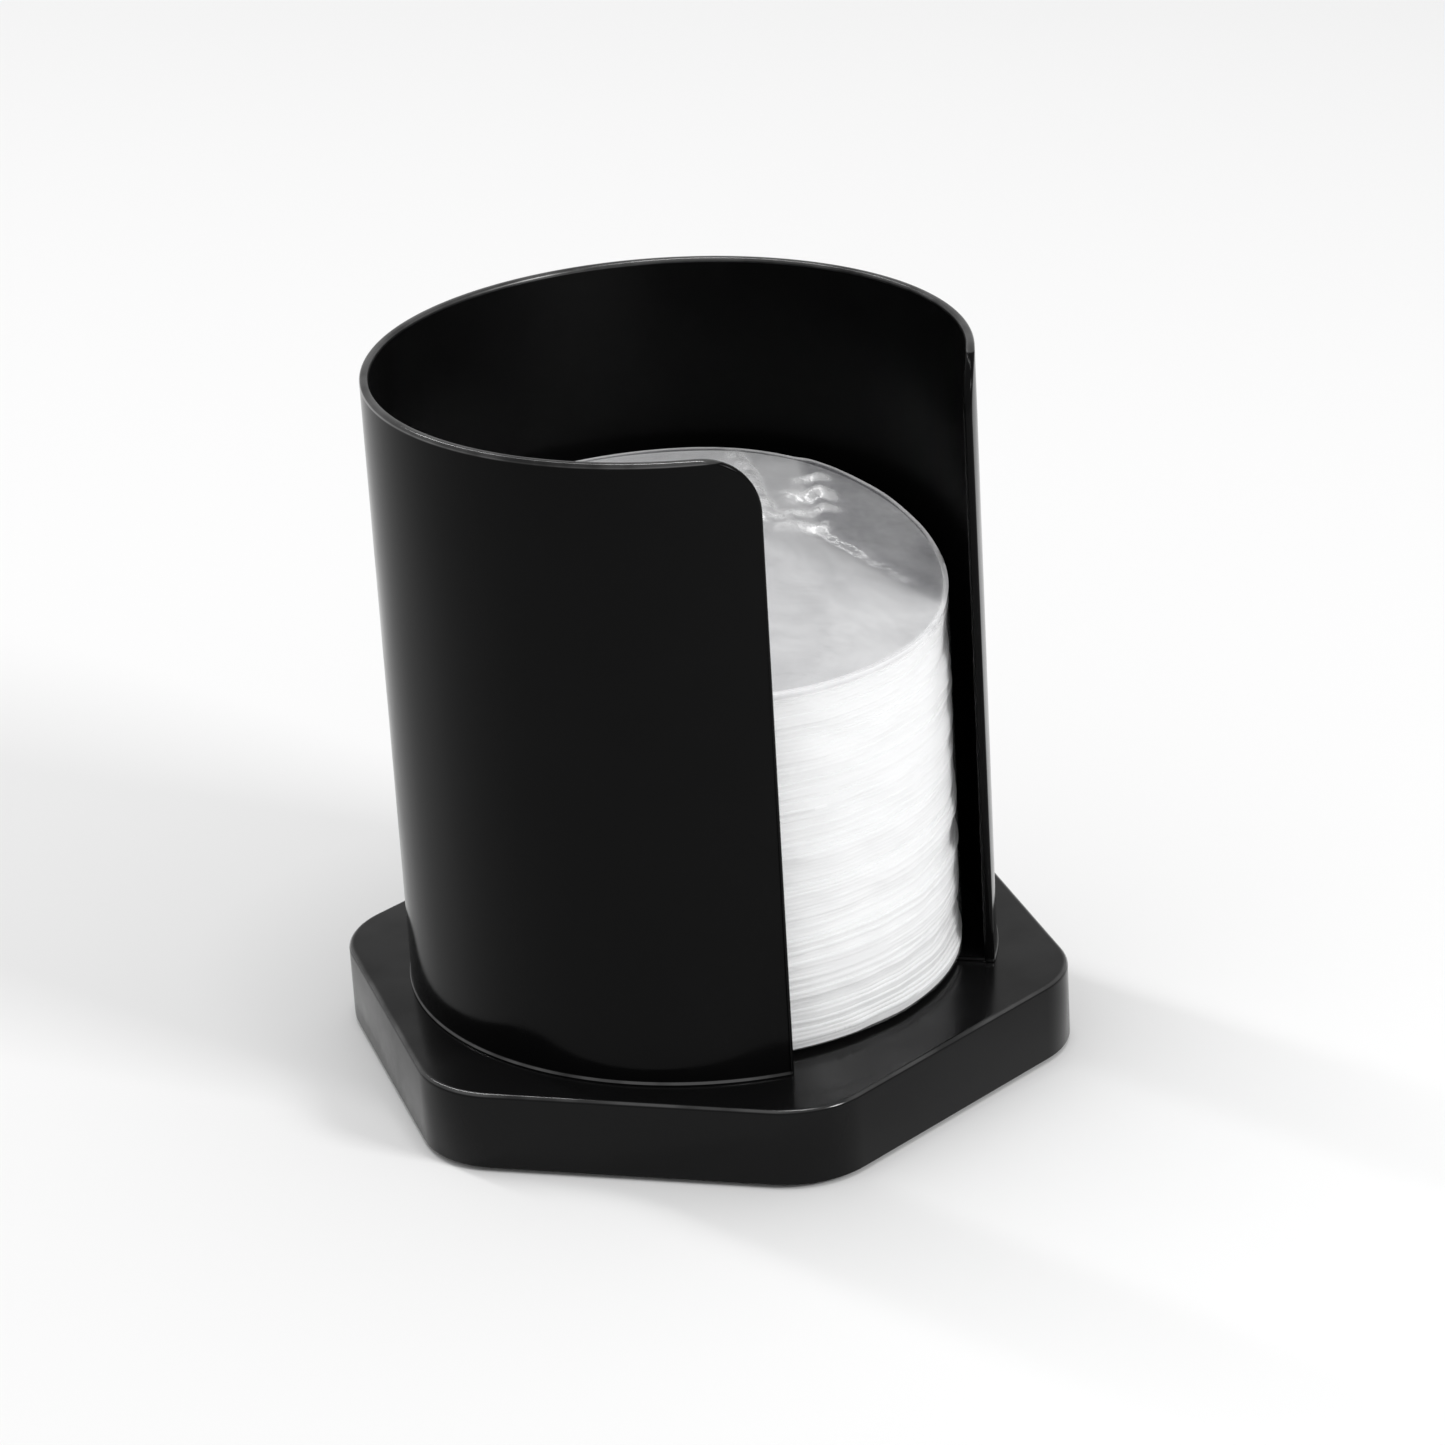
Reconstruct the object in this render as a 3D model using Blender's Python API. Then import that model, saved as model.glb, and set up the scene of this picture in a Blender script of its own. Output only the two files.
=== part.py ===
"""Countertop dispenser for round paper napkins.

A C-shaped tube, open at the top and down its front, stands on a hexagonal base. The tube drops over a
raised seat on the base and is screwed to it from below. A steel plate in the hollow base keeps the
dispenser steady, a cover closes the base, and rubber feet stand at its corners. The napkins stand on
the seat as a pack in clear film, which lifts out through the open top.

Metres, +Z up. The origin is on the ground at the middle of the base, and the slot faces -Y.
"""

import math

import bmesh
import bpy

MM = 0.001
GAP = 0.3 * MM  # clearance between pieces that touch
CUT_PAST = 1 * MM  # how far a cutter runs past the face it cuts

# Driving dimensions
TUBE_RADIUS = 80 * MM  # outside
TUBE_WALL = 2.4 * MM
TUBE_HEIGHT = 172 * MM  # base top to rim
SLOT_HALF_ANGLE = 30  # degrees each side of -Y
SLOT_CORNER_RADIUS = 16 * MM
BASE_APOTHEM = 90 * MM  # centre to the middle of a flat side
BASE_CORNER_RADIUS = 25 * MM
BASE_THICKNESS = 21.6 * MM
BASE_EDGE_FILLET = 1.5 * MM
BASE_WALL = 3 * MM
FOOT_DROP = 1.2 * MM  # how far the feet reach below the base
SEAT_HEIGHT = 1.5 * MM
SEAT_RADIUS = 62 * MM
NAPKIN_RADIUS = 70 * MM
PACK_HEIGHT = 100.9 * MM  # seat to the top of the film at the slot
BACK_RISE = 17 * MM  # how much higher the top sheet is at the back than at the slot
RISE_RUN = 117 * MM  # the top sheet climbs over this run from its front edge, and is level behind it
CURL_POWER = 1.5  # more keeps the front edge flatter
FILM_THICKNESS = 0.3 * MM
TOP_SHEET_THICKNESS = 0.8 * MM

# Base and tube, worked out
BASE_BOTTOM = FOOT_DROP
BASE_TOP = BASE_BOTTOM + BASE_THICKNESS
SKIN_BOTTOM = BASE_TOP - BASE_WALL
SEAT_TOP = BASE_TOP + SEAT_HEIGHT
TUBE_FOOT = BASE_TOP + GAP
TUBE_RIM = BASE_TOP + TUBE_HEIGHT
TUBE_INSIDE = TUBE_RADIUS - TUBE_WALL
FLANGE_INSIDE = SEAT_RADIUS + 1 * MM

# Fasteners of the tube
TUBE_SCREW_CIRCLE = 70 * MM
TUBE_SCREW_ANGLES = [-30, 30, 90, 150, 210]
TUBE_BOSS_RADIUS = 4.5 * MM
TUBE_BOSS_CLEARANCE = 0.4 * MM
TUBE_BOSS_SHORT = 0.2 * MM  # the boss ends this far inside the skin, so the washer clamps the base
PILOT_HOLE_ROOF = 0.5 * MM
WASHER_RADIUS = 7 * MM
WASHER_THICKNESS = 1.2 * MM

# Cover, its fasteners and the feet, one of each at every corner
CORNER_ANGLES = [0, 60, 120, 180, 240, 300]
COVER_RECESS = 0.8 * MM
COVER_BOTTOM = BASE_BOTTOM + COVER_RECESS
COVER_THICKNESS = 2.4 * MM
COVER_TOP = COVER_BOTTOM + COVER_THICKNESS
COVER_CLEARANCE = 0.4 * MM
COVER_SCREW_CIRCLE = 72 * MM
COVER_POST_RADIUS = 4 * MM
COUNTERBORE_RADIUS = 3.8 * MM
COUNTERBORE_DEPTH = 1.2 * MM
FOOT_CIRCLE = 86 * MM
FOOT_RADIUS = 6.2 * MM
FOOT_RECESS = 0.8 * MM
FOOT_CHAMFER = 0.5 * MM

# Screws
SCREW_RADIUS = 1.5 * MM
SCREW_HOLE_RADIUS = 1.8 * MM
SCREW_HEAD_RADIUS = 3.1 * MM
SCREW_HEAD_HEIGHT = 1.6 * MM
SCREW_TIP = 1.2 * MM
RECESS_WIDTH = 0.7 * MM
RECESS_LENGTH = 3.4 * MM
RECESS_DEPTH = 0.9 * MM
TUBE_SCREW_LENGTH = 4.6 * MM
COVER_SCREW_LENGTH = 9 * MM

# Ballast
BALLAST_RADIUS = 60 * MM
BALLAST_THICKNESS = 6 * MM
BALLAST_BOTTOM = COVER_TOP + GAP
BALLAST_PEG_CIRCLE = 40 * MM
BALLAST_PEG_ANGLES = [90, 210, 330]
BALLAST_HOLD_ANGLES = [30, 150, 270]
PEG_RADIUS = 3 * MM
PEG_CLEARANCE = 0.6 * MM
PEG_SHORT = 1 * MM  # the pegs end this far below the top of the ballast
HOLD_POST_RADIUS = 4 * MM

# Fineness of the curved surfaces
CORNER_STEPS = 6
WALL_STEPS = 54
WALL_CORNER_STEPS = 7
PACK_STEPS = 54
HOLE_STEPS = 16
FILLET_STEPS = 2
PACK_RING_SHARES = (1.0, 0.75, 0.5, 0.25)  # radii of the rings that carry the curve of a sheet


def clear_scene():
    for obj in list(bpy.data.objects):
        bpy.data.objects.remove(obj, do_unlink=True)


def material(name, colour, roughness, metallic=0.0, alpha=1.0):
    made = bpy.data.materials.new(name)
    made.use_nodes = True
    shader = made.node_tree.nodes["Principled BSDF"]
    shader.inputs["Base Color"].default_value = (*colour, 1.0)
    shader.inputs["Roughness"].default_value = roughness
    shader.inputs["Metallic"].default_value = metallic
    shader.inputs["Alpha"].default_value = alpha
    return made


# Geometry: every body here is a loft, a run of matching rings of points joined by faces.


def polar(radius, degrees, z=0.0):
    angle = math.radians(degrees)
    return (radius * math.cos(angle), radius * math.sin(angle), z)


def circle(radius, z, steps):
    return [polar(radius, 360 * i / steps, z) for i in range(steps)]


def rounded_hexagon(apothem, corner_radius, z):
    """A hexagon with its flat sides facing -Y, +Y and the directions between, and its corners rounded."""
    centre_distance = (apothem - corner_radius) / math.cos(math.radians(30))
    points = []
    for corner in CORNER_ANGLES:
        cx, cy, _ = polar(centre_distance, corner)
        for step in range(CORNER_STEPS + 1):
            dx, dy, _ = polar(corner_radius, corner - 30 + 60 * step / CORNER_STEPS)
            points.append((cx + dx, cy + dy, z))
    return points


def round_ring_within(outline, radius, z):
    """A circle with one point in the direction of each point of the outline."""
    return [(x * radius / math.hypot(x, y), y * radius / math.hypot(x, y), z) for x, y, _ in outline]


def loft(rings, start="cap", end="cap"):
    """A mesh through the rings. Each end is a flat cap, or a fan to the point given as start or end.

    start="loop" joins the last ring to the first instead.
    """
    bm = bmesh.new()
    levels = [[bm.verts.new(point) for point in ring] for ring in rings]
    count = len(levels[0])
    pairs = list(zip(levels, levels[1:]))
    if start == "loop":
        pairs.append((levels[-1], levels[0]))
    for lower, upper in pairs:
        for i in range(count):
            j = (i + 1) % count
            bm.faces.new((lower[i], lower[j], upper[j], upper[i]))
    for level, closing in ((levels[0], start), (levels[-1], end)):
        if start == "loop":
            continue
        if closing == "cap":
            bm.faces.new(level)
            continue
        middle = bm.verts.new(closing)
        for i in range(count):
            bm.faces.new((level[i], level[(i + 1) % count], middle))
    bmesh.ops.recalc_face_normals(bm, faces=bm.faces)
    return bm


def turned(profile, steps):
    """A solid of revolution about Z from (radius, z) pairs, closed with flat ends."""
    return loft([circle(radius, z, steps) for radius, z in profile])


def cylinders(places, radius, bottom, top, steps=HOLE_STEPS):
    """Upright cylinders, all of one size, at the (x, y) of each place."""
    bm = bmesh.new()
    for x, y, _ in places:
        post = turned([(radius, bottom), (radius, top)], steps)
        bmesh.ops.translate(post, verts=post.verts, vec=(x, y, 0))
        shape = bpy.data.meshes.new("post")
        post.to_mesh(shape)
        post.free()
        bm.from_mesh(shape)
        bpy.data.meshes.remove(shape)
    return bm


def ring_of_places(radius, angles):
    return [polar(radius, angle) for angle in angles]


def mesh_of(name, bm):
    mesh = bpy.data.meshes.new(name)
    bm.to_mesh(mesh)
    bm.free()
    mesh.shade_smooth()
    mesh.set_sharp_from_angle(angle=math.radians(30))
    return mesh


def add_object(name, mesh, finish=None, parent=None, location=(0, 0, 0)):
    obj = bpy.data.objects.new(name, mesh)
    bpy.context.scene.collection.objects.link(obj)
    obj.location = location
    obj.parent = parent
    if finish and not mesh.materials:
        mesh.materials.append(finish)
    return obj


def add_helper(name, bm):
    helper = add_object(name, mesh_of(name, bm))
    helper.hide_render = True
    helper.display_type = "WIRE"
    return helper


def combine(obj, operation, name, bm):
    """Adds or cuts the helper shape with a Boolean modifier."""
    boolean = obj.modifiers.new(name, "BOOLEAN")
    boolean.operation = operation
    boolean.solver = "EXACT"
    boolean.object = add_helper(f"{obj.name}_{name}", bm)


def add_empty(name, parent=None, location=(0, 0, 0)):
    empty = bpy.data.objects.new(name, None)
    bpy.context.scene.collection.objects.link(empty)
    empty.location = location
    empty.parent = parent
    return empty


# Tube


def wall_columns():
    """(angle, top height) along the wall, from one edge of the slot round to the other."""
    first = -90 + SLOT_HALF_ANGLE
    last = 270 - SLOT_HALF_ANGLE
    corner = []
    for step in range(WALL_CORNER_STEPS):
        turn = math.radians(90 * step / WALL_CORNER_STEPS)
        along = SLOT_CORNER_RADIUS * (1 - math.cos(turn))
        drop = SLOT_CORNER_RADIUS * (1 - math.sin(turn))
        corner.append((math.degrees(along / TUBE_RADIUS), TUBE_RIM - drop))
    corner_angle = math.degrees(SLOT_CORNER_RADIUS / TUBE_RADIUS)
    straight = last - first - 2 * corner_angle
    columns = [(first + angle, top) for angle, top in corner]
    for step in range(WALL_STEPS + 1):
        columns.append((first + corner_angle + straight * step / WALL_STEPS, TUBE_RIM))
    columns += [(last - angle, top) for angle, top in reversed(corner)]
    return columns


def wall_section(angle, top):
    """The wall and its foot flange, cut by an upright plane through the axis."""
    outline = [
        (TUBE_RADIUS, TUBE_FOOT),
        (TUBE_RADIUS, top),
        (TUBE_INSIDE, top),
        (TUBE_INSIDE, SEAT_TOP),
        (FLANGE_INSIDE, SEAT_TOP),
        (FLANGE_INSIDE, TUBE_FOOT),
    ]
    return [polar(radius, angle, z) for radius, z in outline]


def add_tube(finish):
    wall = loft([wall_section(angle, top) for angle, top in wall_columns()])
    tube = add_object("tube", mesh_of("tube", wall), finish)
    places = ring_of_places(TUBE_SCREW_CIRCLE, TUBE_SCREW_ANGLES)
    middle_of_flange = (TUBE_FOOT + SEAT_TOP) / 2
    boss_bottom = SKIN_BOTTOM + TUBE_BOSS_SHORT
    hole_bottom = boss_bottom - CUT_PAST
    hole_top = SEAT_TOP - PILOT_HOLE_ROOF
    combine(tube, "UNION", "bosses", cylinders(places, TUBE_BOSS_RADIUS, boss_bottom, middle_of_flange))
    combine(tube, "DIFFERENCE", "pilot_holes", cylinders(places, SCREW_HOLE_RADIUS, hole_bottom, hole_top))


# Base


def add_base_shell(finish):
    inner_apothem = BASE_APOTHEM - BASE_WALL
    inner_corner = BASE_CORNER_RADIUS - BASE_WALL
    rings = [
        rounded_hexagon(inner_apothem, inner_corner, SKIN_BOTTOM),
        rounded_hexagon(inner_apothem, inner_corner, BASE_BOTTOM),
        rounded_hexagon(BASE_APOTHEM, BASE_CORNER_RADIUS, BASE_BOTTOM),
    ]
    for step in range(FILLET_STEPS + 1):
        turn = math.radians(90 * step / FILLET_STEPS)
        inset = BASE_EDGE_FILLET * (1 - math.cos(turn))
        height = BASE_TOP - BASE_EDGE_FILLET * (1 - math.sin(turn))
        rings.append(rounded_hexagon(BASE_APOTHEM - inset, BASE_CORNER_RADIUS - inset, height))
    for height in (BASE_TOP, SEAT_TOP):
        rings.append(round_ring_within(rings[0], SEAT_RADIUS, height))
    shell = add_object("base_shell", mesh_of("base_shell", loft(rings)), finish)

    inside_skin = SKIN_BOTTOM + BASE_WALL / 2
    posts = ring_of_places(COVER_SCREW_CIRCLE, CORNER_ANGLES)
    hold_posts = ring_of_places(BALLAST_PEG_CIRCLE, BALLAST_HOLD_ANGLES)
    post_bottom = COVER_TOP + GAP
    hold_bottom = BALLAST_BOTTOM + BALLAST_THICKNESS + GAP
    combine(shell, "UNION", "cover_posts", cylinders(posts, COVER_POST_RADIUS, post_bottom, inside_skin))
    combine(shell, "UNION", "hold_posts", cylinders(hold_posts, HOLD_POST_RADIUS, hold_bottom, inside_skin))

    boss_holes = ring_of_places(TUBE_SCREW_CIRCLE, TUBE_SCREW_ANGLES)
    hole_radius = TUBE_BOSS_RADIUS + TUBE_BOSS_CLEARANCE
    below_skin = SKIN_BOTTOM - CUT_PAST
    above_skin = BASE_TOP + CUT_PAST
    below_post = post_bottom - CUT_PAST
    post_hole_top = post_bottom + COVER_SCREW_LENGTH
    combine(shell, "DIFFERENCE", "boss_holes", cylinders(boss_holes, hole_radius, below_skin, above_skin))
    combine(shell, "DIFFERENCE", "post_holes", cylinders(posts, SCREW_HOLE_RADIUS, below_post, post_hole_top))


def add_bottom_cover(finish):
    apothem = BASE_APOTHEM - BASE_WALL - COVER_CLEARANCE
    corner = BASE_CORNER_RADIUS - BASE_WALL - COVER_CLEARANCE
    plate = loft([rounded_hexagon(apothem, corner, z) for z in (COVER_BOTTOM, COVER_TOP)])
    cover = add_object("bottom_cover", mesh_of("bottom_cover", plate), finish)

    pegs = ring_of_places(BALLAST_PEG_CIRCLE, BALLAST_PEG_ANGLES)
    peg_bottom = COVER_TOP - COVER_THICKNESS / 2
    peg_top = BALLAST_BOTTOM + BALLAST_THICKNESS - PEG_SHORT
    combine(cover, "UNION", "pegs", cylinders(pegs, PEG_RADIUS, peg_bottom, peg_top))

    screws = ring_of_places(COVER_SCREW_CIRCLE, CORNER_ANGLES)
    feet = ring_of_places(FOOT_CIRCLE, CORNER_ANGLES)
    below = COVER_BOTTOM - CUT_PAST
    above = COVER_TOP + CUT_PAST
    bore_top = COVER_BOTTOM + COUNTERBORE_DEPTH
    recess_top = COVER_BOTTOM + FOOT_RECESS
    combine(cover, "DIFFERENCE", "screw_holes", cylinders(screws, SCREW_HOLE_RADIUS, below, above))
    combine(cover, "DIFFERENCE", "counterbores", cylinders(screws, COUNTERBORE_RADIUS, below, bore_top))
    combine(cover, "DIFFERENCE", "foot_recesses", cylinders(feet, FOOT_RADIUS + GAP, below, recess_top))


def add_ballast_plate(finish):
    top = BALLAST_BOTTOM + BALLAST_THICKNESS
    disc = turned([(BALLAST_RADIUS, BALLAST_BOTTOM), (BALLAST_RADIUS, top)], PACK_STEPS)
    plate = add_object("ballast_plate", mesh_of("ballast_plate", disc), finish)
    pegs = ring_of_places(BALLAST_PEG_CIRCLE, BALLAST_PEG_ANGLES)
    hole_radius = PEG_RADIUS + PEG_CLEARANCE
    below = BALLAST_BOTTOM - CUT_PAST
    combine(plate, "DIFFERENCE", "peg_holes", cylinders(pegs, hole_radius, below, top + CUT_PAST))


# Fasteners and feet


def screw_mesh(name, length):
    """A pan-head screw pointing up, with the seat of its head at z = 0 and a cross recess in the head."""
    bottom = -SCREW_HEAD_HEIGHT
    profile = [
        (0.75 * SCREW_HEAD_RADIUS, bottom),
        (SCREW_HEAD_RADIUS, 0.5 * bottom),
        (SCREW_HEAD_RADIUS, 0),
        (SCREW_RADIUS, 0),
        (SCREW_RADIUS, length - SCREW_TIP),
        (0.4 * SCREW_RADIUS, length),
    ]
    bm = turned(profile, HOLE_STEPS)
    shape = add_object(name, mesh_of(name, bm))
    for number, size in enumerate(((RECESS_LENGTH, RECESS_WIDTH), (RECESS_WIDTH, RECESS_LENGTH))):
        box = bmesh.new()
        bmesh.ops.create_cube(box, size=1)
        bmesh.ops.scale(box, verts=box.verts, vec=(*size, 2 * RECESS_DEPTH))
        bmesh.ops.translate(box, verts=box.verts, vec=(0, 0, bottom))
        combine(shape, "DIFFERENCE", f"recess_{number}", box)
    graph = bpy.context.evaluated_depsgraph_get()
    mesh = bpy.data.meshes.new_from_object(shape.evaluated_get(graph))
    mesh.name = name
    for modifier in shape.modifiers:
        bpy.data.objects.remove(modifier.object)
    bpy.data.objects.remove(shape)
    return mesh


def add_tube_fasteners(screw_finish, washer_finish):
    screw = screw_mesh("tube_screw", TUBE_SCREW_LENGTH)
    washer_top = SKIN_BOTTOM - GAP
    washer_bottom = washer_top - WASHER_THICKNESS
    hole = SCREW_HOLE_RADIUS
    corners = [(WASHER_RADIUS, 0), (WASHER_RADIUS, WASHER_THICKNESS), (hole, WASHER_THICKNESS), (hole, 0)]
    washer_rings = [circle(radius, z, HOLE_STEPS) for radius, z in corners]
    washer = mesh_of("tube_washer", loft(washer_rings, start="loop"))
    for number, angle in enumerate(TUBE_SCREW_ANGLES, 1):
        place = polar(TUBE_SCREW_CIRCLE, angle, washer_bottom)
        add_object(f"tube_washer_{number}", washer, washer_finish, location=place)
        place = polar(TUBE_SCREW_CIRCLE, angle, washer_bottom - GAP)
        add_object(f"tube_screw_{number}", screw, screw_finish, location=place)


def add_cover_screws(finish):
    screw = screw_mesh("cover_screw", COVER_SCREW_LENGTH)
    seat = COVER_BOTTOM + COUNTERBORE_DEPTH - GAP
    for number, angle in enumerate(CORNER_ANGLES, 1):
        add_object(f"cover_screw_{number}", screw, finish, location=polar(COVER_SCREW_CIRCLE, angle, seat))


def add_feet(finish):
    top = COVER_BOTTOM + FOOT_RECESS - GAP
    profile = [(FOOT_RADIUS - FOOT_CHAMFER, 0), (FOOT_RADIUS, FOOT_CHAMFER), (FOOT_RADIUS, top)]
    foot = mesh_of("foot", turned(profile, HOLE_STEPS))
    for number, angle in enumerate(CORNER_ANGLES, 1):
        add_object(f"foot_{number}", foot, finish, location=polar(FOOT_CIRCLE, angle))


# Napkin pack


def sheet_rise(y):
    """How far a sheet on the top of the pack is lifted at this distance behind the axis."""
    across = min(max((y + NAPKIN_RADIUS) / RISE_RUN, 0.0), 1.0)
    return BACK_RISE * math.sin(across * math.pi / 2) ** CURL_POWER


def curved_rings(radii, height):
    """Round rings that follow the top sheet's curve, with the front edge at the given height."""
    rings = []
    for radius in radii:
        flat = circle(radius, height, PACK_STEPS)
        rings.append([(x, y, z + sheet_rise(y)) for x, y, z in flat])
    return rings


def add_napkin_pack(paper, top_paper, film):
    lift = add_empty("pack_lift_axis")
    film_top = SEAT_TOP + PACK_HEIGHT
    sheet_top = film_top - FILM_THICKNESS - GAP
    sheet_bottom = sheet_top - TOP_SHEET_THICKNESS
    stack_top = sheet_bottom - GAP
    stack_bottom = SEAT_TOP + GAP
    radii = [NAPKIN_RADIUS * share for share in PACK_RING_SHARES]
    middle_rise = sheet_rise(0)

    side = [circle(NAPKIN_RADIUS, stack_bottom, PACK_STEPS)]
    stack = loft(side + curved_rings(radii, stack_top), end=(0, 0, stack_top + middle_rise))
    add_object("napkin_stack", mesh_of("napkin_stack", stack), paper, parent=lift)

    under = curved_rings(reversed(radii), sheet_bottom)
    over = curved_rings(radii, sheet_top)
    sheet = loft(
        under + over,
        start=(0, 0, sheet_bottom + middle_rise),
        end=(0, 0, sheet_top + middle_rise),
    )
    sheet_lift = add_empty("top_napkin_lift_axis", parent=lift)
    add_object("top_napkin", mesh_of("top_napkin", sheet), top_paper, parent=sheet_lift)

    inside = NAPKIN_RADIUS + GAP
    outside = inside + FILM_THICKNESS
    under = curved_rings([*reversed(radii[1:]), inside], film_top - FILM_THICKNESS)
    over = curved_rings([outside, *radii[1:]], film_top)
    skirt = [circle(inside, stack_bottom, PACK_STEPS), circle(outside, stack_bottom, PACK_STEPS)]
    wrap = loft(
        under + skirt + over,
        start=(0, 0, film_top - FILM_THICKNESS + middle_rise),
        end=(0, 0, film_top + middle_rise),
    )
    wrap_lift = add_empty("film_lift_axis", parent=sheet_lift)
    add_object("film_wrap", mesh_of("film_wrap", wrap), film, parent=wrap_lift)


def main():
    clear_scene()
    add_tube(material("tube_black", (0.010, 0.010, 0.012), 0.12))
    add_base_shell(material("base_black", (0.012, 0.012, 0.013), 0.12))
    add_bottom_cover(material("cover_black", (0.02, 0.02, 0.02), 0.55))
    add_ballast_plate(material("ballast_steel", (0.55, 0.56, 0.58), 0.35, metallic=1.0))
    add_tube_fasteners(
        material("tube_screw_steel", (0.6, 0.6, 0.62), 0.3, metallic=1.0),
        material("washer_steel", (0.62, 0.62, 0.63), 0.35, metallic=1.0),
    )
    add_cover_screws(material("cover_screw_steel", (0.6, 0.6, 0.62), 0.3, metallic=1.0))
    add_feet(material("foot_rubber", (0.025, 0.025, 0.025), 0.85))
    add_napkin_pack(
        material("napkin_paper", (0.86, 0.86, 0.85), 0.9),
        material("top_napkin_paper", (0.87, 0.87, 0.86), 0.9),
        material("clear_film", (0.95, 0.96, 0.97), 0.08, alpha=0.2),
    )


main()
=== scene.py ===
"""Looks of the round-napkin dispenser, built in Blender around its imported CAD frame.

The tube, base, cover, fasteners, feet and ballast are remade with finely rounded surfaces where the CAD
solids stand. The pack is remade as what it is: layered sheets of tissue, a loose sheet on top, and a thin
crinkled film round them. Sizes come from the frame's boxes; the few that a box can't tell are named below.
"""

import math

import bmesh
import bpy
from mathutils import Matrix, Vector, noise


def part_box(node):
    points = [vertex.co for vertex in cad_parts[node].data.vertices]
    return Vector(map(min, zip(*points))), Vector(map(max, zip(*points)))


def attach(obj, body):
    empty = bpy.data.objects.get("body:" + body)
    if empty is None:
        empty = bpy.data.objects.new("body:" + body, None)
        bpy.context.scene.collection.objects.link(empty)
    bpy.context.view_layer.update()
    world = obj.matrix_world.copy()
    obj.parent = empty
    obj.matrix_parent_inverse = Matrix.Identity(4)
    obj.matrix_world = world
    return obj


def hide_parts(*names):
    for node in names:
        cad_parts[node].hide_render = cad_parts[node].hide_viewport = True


MM = 0.001

# Sizes that the frame's boxes don't tell
TUBE_WALL = 2.4 * MM
SLOT_HALF_ANGLE = 30  # degrees each side of -Y
SLOT_CORNER_RADIUS = 16 * MM
RIM_ROUNDING = 0.95 * MM
FOOT_FILLET = 0.8 * MM  # a hollow fillet round the outside of the tube's foot
WALL_ROWS_MM = (0.2, 0.35, 0.5, 0.65, 0.8, 1.6, 3, 12, 60, 120)  # heights of the wall's rows of points
BASE_WALL = 3 * MM
BASE_CORNER_RADIUS = 25 * MM
BASE_FILLET = 1.5 * MM
BASE_LIP = 0.5 * MM
SEAT_RADIUS = 62 * MM
SEAT_HEIGHT = 1.5 * MM
SEAT_EDGE = 0.4 * MM
COVER_THICKNESS = 2.4 * MM
COVER_CHAMFER = 0.4 * MM
FLANGE_INSIDE = 63 * MM
BOSS_RADIUS = 4.5 * MM
BOSS_CLEARANCE = 0.4 * MM
SCREW_HOLE_RADIUS = 1.8 * MM
SCREW_RADIUS = 1.5 * MM
SCREW_PITCH = 1.1 * MM
SCREW_HEAD_RADIUS = 3.1 * MM
SCREW_HEAD_HEIGHT = 1.6 * MM
CROSS_LENGTH = 3.4 * MM
CROSS_WIDTH = 0.7 * MM
CROSS_DEPTH = 1.8 * MM
TUBE_SCREW_LENGTH = 4.6 * MM
COVER_SCREW_LENGTH = 9 * MM
COVER_POST_RADIUS = 4 * MM
COVER_POST_HOLE = 9 * MM
COUNTERBORE_RADIUS = 3.8 * MM
COUNTERBORE_DEPTH = 1.2 * MM
FOOT_RECESS = 0.8 * MM
PEG_RADIUS = 3 * MM
PEG_CLEARANCE = 0.6 * MM
GAP = 0.3 * MM
CUT_PAST = 1 * MM  # a cutting shape reaches this far past what it cuts

TUBE_SCREW_CIRCLE = 70 * MM
TUBE_SCREW_ANGLES = (-30, 30, 90, 150, 210)
COVER_SCREW_CIRCLE = 72 * MM
FOOT_CIRCLE = 86 * MM
CORNER_ANGLES = (0, 60, 120, 180, 240, 300)
PEG_CIRCLE = 40 * MM
PEG_ANGLES = (90, 210, 330)
HOLD_POST_ANGLES = (30, 150, 270)

# The pack
BACK_RISE = 17 * MM  # the sheets on top are this much higher at the back than at the slot
RISE_RUN = 117 * MM  # they climb over this run from their front edge, and are level behind it
CURL_POWER = 1.5  # above 1, they lie flatter near the slot
CURL_DEPTH_POWER = 2.6  # how quickly the curl dies away down the stack
LAYERS = 92
SHEET_SLIP = 0.35 * MM  # how far a sheet lies off the axis
BUNDLE_DEPTH = 1.0 * MM  # bundles of sheets lie in and out by this
RAGGED_DEPTH = 0.25 * MM  # fine waves in a sheet's edge
BROAD_DEPTH = 0.9 * MM  # broad waves that many sheets share
STACK_SAG = 0.35 * MM
EDGE_GROOVE = 0.10 * MM  # between one sheet and the next
TOP_NAPKIN_THICKNESS = 0.45 * MM
TOP_NAPKIN_WAVE = 0.18 * MM

# The film
FILM_THICKNESS = 0.06 * MM
FILM_SIDE_FOLDS = 0.9 * MM
FILM_WRINKLES = 0.6 * MM
FOLD_X = 36 * MM  # a fold runs back from the front edge of the film at this X
POCKET_CORNER = (35 * MM, -17 * MM)  # it ends here, and the loose pocket of film turns towards the back
POCKET_SIDE = (0.653, 0.757)  # the way it turns
POCKET_HEIGHT = 2.2 * MM
POCKET_FOLDS = 0.35 * MM
RIDGE_SLOPE = 0.56  # height gained for each distance in from a ridge's side
# Ridges in the film: the middle's X and Y and half the length in mm, and the heading in degrees.
# The first is the film's seam; the others are short pinches at the pocket's side.
RIDGES = (
    (49, 19, 22, 58),
    (38, -10, 7, -50),
    (45, -5, 8, -48),
    (52, 0, 7, -55),
    (59, 6, 5, -50),
    (36, 0, 5, -60),
)

# What the film's mesh tells its material at each point: where its painted shade, painted glints and painted
# highlight go
FILM_MARKS = ("on_top", "pocket", "pinch", "bend")

# Plastic edges that hands have rubbed shine more than the flat faces
EDGE_INDEX = 2.0
EDGE_BLEND = 0.12 * MM

# Fineness
ROUND_STEPS = 240
HOLE_STEPS = 48

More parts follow.
